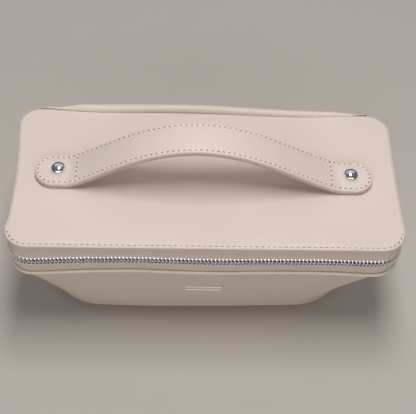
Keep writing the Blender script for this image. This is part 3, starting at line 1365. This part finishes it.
# %% Hinge lining
cloth_low, cloth_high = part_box("hinge_lining")
cloth_foot, cloth_head = 76.0 * MM, LID_BOTTOM + 0.3 * MM
rows = []
for x in np.linspace(-HINGE_HALF, HINGE_HALF, 90):
    route = [(cloth_low.y, cloth_foot), (cloth_low.y + 0.1 * MM, 88 * MM), (TAPE_Y - 2.6 * MM, cloth_head)]
    face = through(route, 8)
    face[:, 0] += 0.12 * MM * math.sin(x / (4.1 * MM)) * np.sin(np.linspace(0, math.pi, len(face)))
    section = np.vstack([face, face[::-1] + [cloth_high.y - cloth_low.y, 0]])
    rows.append(np.column_stack([np.full(len(section), x), section]))
cloth_mesh = skin("hinge_inner_cloth", np.stack(rows, axis=0), around=False)
hinge_cloth = add_piece("hinge_inner_cloth", cloth_mesh, lining_cloth, None, "lining_cloth", "hinge_lining")
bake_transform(hinge_cloth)

# %% [markdown]
# ## The strap handle
#
# The strap is two leathers with felt between them. It lies flat under each rivet and arches up between them,
# with its crown a little left of the middle. It is first laid out flat, as a long oblong with round ends,
# and each point is then carried onto the arch, square off its surface.

# %% The arch
strap_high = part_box("handle_top_leather")[1]
STRAP_HALF, STRAP_WIDE = strap_high.x, strap_high.y
STRAP_THICK = 4.5 * MM
ARCH_HALF, ARCH_LEAN = 89 * MM, 4.5 * MM
ARCH_RISE = strap_high.z - TOP - STRAP_THICK
CROWN = 0.55 * MM
STRAP_SHIFT = 1.0 * MM


def arch_height(x):
    """How high the strap's underside stands above the lid."""
    share = np.minimum(np.abs(x) / ARCH_HALF, 1.0)
    leaned = (x + ARCH_LEAN * (1 - share**2)) / ARCH_HALF
    return ARCH_RISE * np.maximum(1 - leaned**2, 0.0) ** 1.5


def beside(x):
    """How far the strap lies off the lid's middle line: it was riveted on slightly askew."""
    return -1.0 * MM - 0.0105 * x


def on_arch(points):
    """Flat strap points (along, across, off the surface) carried onto the arch."""
    x, y, off = points[..., 0], points[..., 1], points[..., 2]
    y = y + beside(x)
    step = 0.05 * MM
    slope = (arch_height(x + step) - arch_height(x - step)) / (2 * step)
    length = np.sqrt(1 + slope**2)
    along = x - STRAP_SHIFT - slope / length * off
    return np.stack([along, y, TOP + arch_height(x) + off / length], axis=-1)


def arch_normals(points):
    """The direction off the strap's surface at flat strap points."""
    raised = points + [0, 0, 1 * MM]
    return (on_arch(raised) - on_arch(points)) / MM


print(f"the strap rises {ARCH_RISE / MM:.1f} mm under its crown")

# %% [markdown]
# The top leather is crowned across its width by the felt, and its long edges are turned down. The stitches
# pull a shallow channel two millimetres in from the edge. The leather below it is thinner and flat.

# %% Strap leathers
STITCH_INSET = 2.0 * MM
STRAP_REACH = 4.2 * MM
ALONG_STEPS, END_STEPS = 190, 28


def strap_outline(half_long, half_wide):
    """Points and outward directions round a long oblong with round ends, anticlockwise."""
    straight = half_long - half_wide
    xs = np.linspace(straight, -straight, ALONG_STEPS + 1)
    turns = np.radians(np.linspace(90, 270, END_STEPS + 1))[1:-1]
    away_left = np.column_stack([np.cos(turns), np.sin(turns)])
    left_end = away_left * half_wide + [-straight, 0]
    top_side = np.column_stack([xs, np.full(len(xs), half_wide)])
    top_away = np.tile([0.0, 1.0], (len(xs), 1))
    spots = np.concatenate([top_side, left_end, -top_side, -left_end])
    return spots, np.concatenate([top_away, away_left, -top_away, -away_left])


def strap_dip(inset):
    """The crown of the top leather and its stitch channel, by distance from the edge."""
    rise = CROWN * (1 - (1 - np.minimum(inset / STRAP_WIDE, 1)) ** 2)
    return rise - 0.3 * MM * hump(inset, STITCH_INSET, 0.5 * MM) - 0.12 * MM


strap_spots, strap_away = strap_outline(STRAP_HALF, STRAP_WIDE)
spine = STRAP_HALF - STRAP_WIDE
insets = np.r_[np.linspace(STRAP_WIDE, STRAP_REACH, 9)[:-1], np.linspace(STRAP_REACH, 1.1 * MM, 14)]
top_profile = [(inset, STRAP_THICK + strap_dip(inset)) for inset in insets]
top_profile += rolled(1.1 * MM, 3.25 * MM, 1.1 * MM, 1.1 * MM, 90, 180, 7)
top_profile += [(0.0, 2.6 * MM), (0.05 * MM, 2.1 * MM)]
top_profile += rolled(0.4 * MM, 2.0 * MM, 0.35 * MM, 0.3 * MM, 180, 270, 4)
top_profile += [(1.1 * MM, 1.75 * MM), (1.2 * MM, 3.2 * MM), (3 * MM, 3.25 * MM), (STRAP_WIDE, 3.25 * MM)]
top_grid = spread(strap_spots, strap_away, STRAP_WIDE, spine, STRAP_REACH, top_profile)
flat_tab = ramp(np.abs(top_grid[..., 0]), 74 * MM, 86 * MM)
over = np.maximum(top_grid[..., 2] - STRAP_THICK, 0)
top_grid[..., 2] -= over * flat_tab * 0.9
strap_edge = [math.exp(-((inset / (1.2 * MM)) ** 2)) * (height > 3 * MM) for inset, height in top_profile]
strap_mesh = skin("strap_top_leather", on_arch(top_grid), tube=False, edge=strap_edge)
strap_top = add_piece(
    "strap_top_leather", strap_mesh, blush_leather, "lid", "blush_leather", "handle_top_leather"
)

low_profile = [(STRAP_WIDE, 1.35 * MM), (3 * MM, 1.35 * MM), (0.9 * MM, 1.4 * MM)]
low_profile += rolled(0.6 * MM, 0.9 * MM, 0.55 * MM, 0.55 * MM, 100, 260, 9)
low_profile += [(1.2 * MM, 0.32 * MM), (3 * MM, 0.3 * MM), (STRAP_WIDE, 0.3 * MM)]
low_grid = spread(strap_spots, strap_away, STRAP_WIDE, spine, STRAP_REACH, low_profile)
low_mesh = skin("strap_under_leather", on_arch(low_grid), tube=False)
add_piece("strap_under_leather", low_mesh, under_leather, "lid", "blush_leather", "handle_under_leather")
felt_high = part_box("handle_filler")[1]
felt_spots, felt_away = strap_outline(felt_high.x, felt_high.y)
felt_profile = [(felt_high.y, 3.0 * MM), (2 * MM, 3.0 * MM), (0.5 * MM, 2.9 * MM), (0.0, 2.2 * MM)]
felt_profile += [(0.5 * MM, 1.5 * MM), (2 * MM, 1.42 * MM), (felt_high.y, 1.42 * MM)]
felt_grid = spread(felt_spots, felt_away, felt_high.y, felt_high.x - felt_high.y, 3 * MM, felt_profile)
felt_mesh = skin("strap_felt", on_arch(felt_grid), tube=False)
add_piece("strap_felt", felt_mesh, strap_felt, "lid", "strap_filler", "handle_filler")

# %% Strap stitching
CROSS_STITCH_X = 80.2 * MM
row_spots, _ = strap_outline(STRAP_HALF - STITCH_INSET, STRAP_WIDE - STITCH_INSET)
stitch_height = STRAP_THICK + strap_dip(STITCH_INSET) + 0.02 * MM
flat_row = np.column_stack([row_spots, np.full(len(row_spots), stitch_height)])
strap_lines = [(on_arch(flat_row), arch_normals(flat_row), True)]
for side in (-1, 1):
    across = np.linspace(-(STRAP_WIDE - 2.9 * MM), STRAP_WIDE - 2.9 * MM, 12)
    heights = [STRAP_THICK + strap_dip(STRAP_WIDE - abs(y)) * 0.35 + 0.05 * MM for y in across]
    flat_cross = np.column_stack([np.full(len(across), side * CROSS_STITCH_X), across, heights])
    strap_lines.append((on_arch(flat_cross), arch_normals(flat_cross), False))
sew("strap_stitching", strap_lines, "lid", pitch=3.5 * MM, thread_length=2.2 * MM, seed=2)

# %% [markdown]
# ## Rivets and zip hardware
#
# A double-cap rivet is turned: a polished dome with a small rolled lip outside, and a flat washer with its
# post inside the lid. A profile spun round an axis gives both.

# %% Rivets
def spun(name, profile, centre, steps=48):
    """A turned solid from (radius, height) pairs that start and end on the axis."""
    angles = np.radians(np.arange(steps) * 360 / steps)
    rows = [
        np.column_stack(
            [
                centre[0] + np.array([radius for radius, _ in profile]) * math.cos(angle),
                centre[1] + np.array([radius for radius, _ in profile]) * math.sin(angle),
                centre[2] + np.array([height for _, height in profile]),
            ]
        )
        for angle in angles
    ]
    return skin(name, np.stack(rows, axis=0), tube=False)


for word, nudge in (("left", 0.3 * MM), ("right", -1.5 * MM)):
    low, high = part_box("rivet_cap_" + word)
    place_x = (low.x + high.x) / 2 + nudge
    centre = (place_x, beside(place_x), low.z)
    radius, rise = (high.x - low.x) / 2, high.z - low.z
    dome = [
        (radius * 0.99 * math.sin(turn), rise * (0.08 + 0.92 * math.cos(turn)))
        for turn in np.linspace(0, math.pi / 2, 22)
    ]
    lip = [(radius * 1.0, 0.25 * MM), (radius * 1.0, 0.02 * MM), (radius * 0.96, -0.15 * MM)]
    foot = [(radius * 0.6, -0.2 * MM), (1.9 * MM, -0.2 * MM), (1.9 * MM, 1.6 * MM), (0.0, 1.6 * MM)]
    cap_mesh = spun("rivet_dome_" + word, dome + lip + foot, centre)
    add_piece("rivet_dome_" + word, cap_mesh, bright_nickel, "lid", "bright_nickel", "rivet_cap_" + word)
    low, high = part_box("rivet_base_" + word)
    centre, radius = (place_x, beside(place_x), low.z), (high.x - low.x) / 2
    washer = [(0.0, 0.35 * MM), (1.5 * MM, 0.3 * MM), (1.8 * MM, 0.0), (radius - 0.6 * MM, -0.05 * MM)]
    washer += [(radius - 0.1 * MM, 0.2 * MM), (radius, 0.45 * MM), (radius - 0.3 * MM, 0.8 * MM)]
    post = [(1.6 * MM, 0.85 * MM), (1.6 * MM, high.z - low.z), (0.0, high.z - low.z)]
    base_mesh = spun("rivet_washer_" + word, washer + post, centre)
    add_piece("rivet_washer_" + word, base_mesh, bright_nickel, "lid", "bright_nickel", "rivet_base_" + word)

# %% [markdown]
# A slider is die cast: two shield-shaped plates with side flanges and a diamond post between them. The plates
# and the pull are flat outlines with rounded edges, and a flat curve with a bevel gives just that. It is
# made a mesh first, and then stood up against the case's right side.

# %% Slider tools
def rounded_plate(name, outlines, low, high, round_over):
    """A flat plate with rounded edges, from closed outlines in (y, z), standing between two x faces."""
    data = bpy.data.curves.new(name, "CURVE")
    data.dimensions = "2D"
    data.fill_mode = "BOTH"
    data.extrude = (high - low) / 2 - round_over
    data.bevel_depth = round_over
    data.bevel_resolution = 3
    data.offset = -round_over
    for points in outlines:
        spline = data.splines.new("POLY")
        spline.points.add(len(points) - 1)
        for spot, (y, z) in zip(spline.points, points):
            spot.co = (y, z, 0, 1)
        spline.use_cyclic_u = True
    holder = bpy.data.objects.new(name, data)
    bpy.context.scene.collection.objects.link(holder)
    bpy.context.view_layer.update()
    mesh = bpy.data.meshes.new_from_object(holder.evaluated_get(bpy.context.evaluated_depsgraph_get()))
    bpy.data.objects.remove(holder)
    mesh.transform(Matrix(((0, 0, 1, (low + high) / 2), (1, 0, 0, 0), (0, 1, 0, 0), (0, 0, 0, 1))))
    return mesh


def join_meshes(name, meshes):
    """Several meshes as one, merged, facing outwards and shaded smooth but for its sharp edges."""
    work = bmesh.new()
    for mesh in meshes:
        work.from_mesh(mesh)
    bmesh.ops.remove_doubles(work, verts=work.verts, dist=0.001 * MM)
    bmesh.ops.recalc_face_normals(work, faces=work.faces)
    made = bpy.data.meshes.new(name)
    work.to_mesh(made)
    work.free()
    made.shade_smooth()
    made.set_sharp_from_angle(angle=math.radians(40))
    return made


def smooth_ring(points, steps=5):
    """A closed outline rounded off through its points."""
    points = np.array(points)
    looped = np.vstack([points[-2:], points, points[:2]])
    made = through(looped, steps)
    return made[2 * steps : -2 * steps - 1].tolist()


print("slider tools ready")

# %% Sliders, bails and pulls
for word, opens in (("front", -1), ("rear", 1)):
    low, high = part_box("zip_slider_" + word)
    centre_y, reach = (low.y + high.y) / 2, (high.y - low.y) / 2
    wide = (high.z - low.z) / 2
    half = [(1.0, 0.35), (0.8, 0.78), (0.3, 1.0), (-0.4, 0.82), (-0.85, 0.72), (-1.0, 0.4)]
    shield = half + [(along, -across) for along, across in half[::-1]]
    plan = [(centre_y + opens * reach * a, ZIP_HEIGHT + wide * b) for a, b in shield]
    plan = smooth_ring(plan)
    outer_face, inner_face = TAPE_X + 1.2 * MM, TAPE_X - 1.9 * MM
    parts = [
        rounded_plate("slider_outer", [plan], outer_face, high.x, 0.45 * MM),
        rounded_plate("slider_inner", [plan], low.x, inner_face, 0.4 * MM),
    ]
    post_y = centre_y + opens * 1.5 * MM
    diamond = [(post_y - 2.4 * MM, ZIP_HEIGHT), (post_y, ZIP_HEIGHT + 0.35 * MM)]
    diamond += [(post_y + 2.4 * MM, ZIP_HEIGHT), (post_y, ZIP_HEIGHT - 0.35 * MM)]
    parts.append(rounded_plate("slider_post", [diamond], inner_face - MM, outer_face + MM, 0.05 * MM))
    for way in (-1, 1):
        ends = [(centre_y + opens * reach * a, ZIP_HEIGHT + way * wide * b) for a, b in half[1:5]]
        inset = [(y, z - way * 0.9 * MM) for y, z in ends[::-1]]
        flange_low, flange_high = TAPE_X + 0.35 * MM, outer_face + 0.5 * MM
        parts.append(rounded_plate("slider_flange", [ends + inset], flange_low, flange_high, 0.15 * MM))
    lug_half = [(-5.0, -0.9), (-3.0, -1.1), (3.0, -1.1), (5.0, -0.9)]
    lug_shape = lug_half + [(-along, -across) for along, across in lug_half]
    lug = [(centre_y + along * MM, ZIP_HEIGHT + across * MM) for along, across in lug_shape]
    parts.append(rounded_plate("slider_lug", [lug], high.x - 0.3 * MM, high.x + 0.25 * MM, 0.12 * MM))
    body = "slider_" + word
    slider_mesh = join_meshes("zip_slider_body_" + word, parts)
    slider_name = "zip_slider_body_" + word
    add_piece(slider_name, slider_mesh, bright_nickel, body, "bright_nickel", "zip_slider_" + word)

    bail_low, bail_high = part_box("zip_bail_" + word)
    wire = 0.46 * MM
    leg, arch_x = (bail_high.y - bail_low.y) / 2 - 0.6 * MM, bail_high.x - 1.1 * MM
    route = through(
        [
            (high.x - 0.4 * MM, -leg),
            (arch_x - 0.8 * MM, -leg),
            (arch_x - 0.25 * MM, -leg + 0.45 * MM),
            (arch_x, -leg + 1.3 * MM),
            (arch_x, leg - 1.3 * MM),
            (arch_x - 0.25 * MM, leg - 0.45 * MM),
            (arch_x - 0.8 * MM, leg),
            (high.x - 0.4 * MM, leg),
        ],
        5,
    )
    route = np.column_stack([route[:, 0], centre_y + route[:, 1], np.full(len(route), ZIP_HEIGHT)])
    line = line_mesh("bail", [(route, np.zeros_like(route) + [0, 0, 1.0], False)])
    values = {"Radius": wire, "Sides": 12, "Finish": bright_nickel}
    made = run_tree("zip_bail_wire_" + word, bead_tree, line, values, weld=True)
    add_piece("zip_bail_wire_" + word, made, None, body, "bright_nickel", "zip_bail_" + word)

    pull_low, pull_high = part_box("zip_pull_" + word)
    hang_y = (pull_low.y + pull_high.y) / 2
    head = [(3.0 * math.cos(t), 3.0 * math.sin(t)) for t in np.radians(np.arange(-30, 211, 20))]
    tab = head + [(-2.2, -6), (-3.5, -12), (-3.6, -25)]
    tab += [(3.6 * math.cos(t), -26 + 3.6 * math.sin(t)) for t in np.radians(np.arange(195, 346, 25))]
    tab += [(3.6, -25), (3.5, -12), (2.2, -6)]
    eye = [(1.15 * math.cos(t), 1.15 * math.sin(t)) for t in np.radians(np.arange(0, 360, 20))]
    window = [(1.7, -14), (1.2, -13.3), (-1.2, -13.3), (-1.7, -14), (-1.7, -24.5), (-1.2, -25.2)]
    window += [(1.2, -25.2), (1.7, -24.5)]
    shapes = [
        [(hang_y + y * MM, ZIP_HEIGHT + z * MM) for y, z in shape] for shape in (tab, eye, window)
    ]
    pull_mesh = rounded_plate("pull", shapes, pull_low.x - 0.05 * MM, pull_high.x - 0.25 * MM, 0.24 * MM)
    tab_name = "zip_pull_tab_" + word
    pull_mesh = join_meshes(tab_name, [pull_mesh])
    add_piece(tab_name, pull_mesh, bright_nickel, "pull_" + word, "bright_nickel", "zip_pull_" + word)

# %% [markdown]
# ## The badge
#
# The front panel carries a plain open frame of bright metal, pill shaped, with nothing written in it. It
# lies on the leaning panel, so it is drawn flat and laid onto the panel's slope.

# %% Badge
badge_low, badge_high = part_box("front_badge")
half_long = (badge_high.x - badge_low.x) / 2
BADGE_RAISE = 9 * MM
middle_z = (badge_low.z + badge_high.z) / 2 + BADGE_RAISE
lean = math.atan2(TAPER_Y, BODY_TOP - BASE_TURN)
half_tall = 3.6 * MM
bend = half_tall - 0.5 * MM
ring_line = []
for centre_x, start in ((half_long - half_tall, -90), (-(half_long - half_tall), 90)):
    for turn in np.radians(np.linspace(start, start + 180, 17)):
        ring_line.append((centre_x + bend * math.cos(turn), bend * math.sin(turn)))
ring_line = np.array(ring_line)
ring = body_ring(middle_z, 0.0)
panel_face = ring[np.argmin(np.hypot(ring[:, 0], ring[:, 1] + BODY_Y))][1]
tilt = math.sin(lean)
ring_points = np.column_stack(
    [
        ring_line[:, 0],
        panel_face - ring_line[:, 1] * tilt - 0.1 * MM,
        middle_z + ring_line[:, 1] * math.cos(lean),
    ]
)
line = line_mesh("badge", [(settle(ring_points), np.zeros_like(ring_points) + [0, -1.0, 0], True)])
values = {"Radius": 0.55 * MM, "Sides": 10, "Finish": badge_nickel}
badge_mesh = run_tree("badge_frame", bead_tree, line, values, weld=True)
add_piece("badge_frame", badge_mesh, None, "case", "bright_nickel", "front_badge")

# %% [markdown]
# ## The floor
#
# The case stands on a wide pale floor, which also throws a little warm light back onto its front.

# %% Floor
floor_mesh = bpy.data.meshes.new("floor")
floor_mesh.from_pydata([(-3, -3, 0), (3, -3, 0), (3, 3, 0), (-3, 3, 0)], [], [(0, 1, 2, 3)])
floor_mesh.materials.append(studio_floor)
floor = bpy.data.objects.new("floor", floor_mesh)
bpy.context.scene.collection.objects.link(floor)
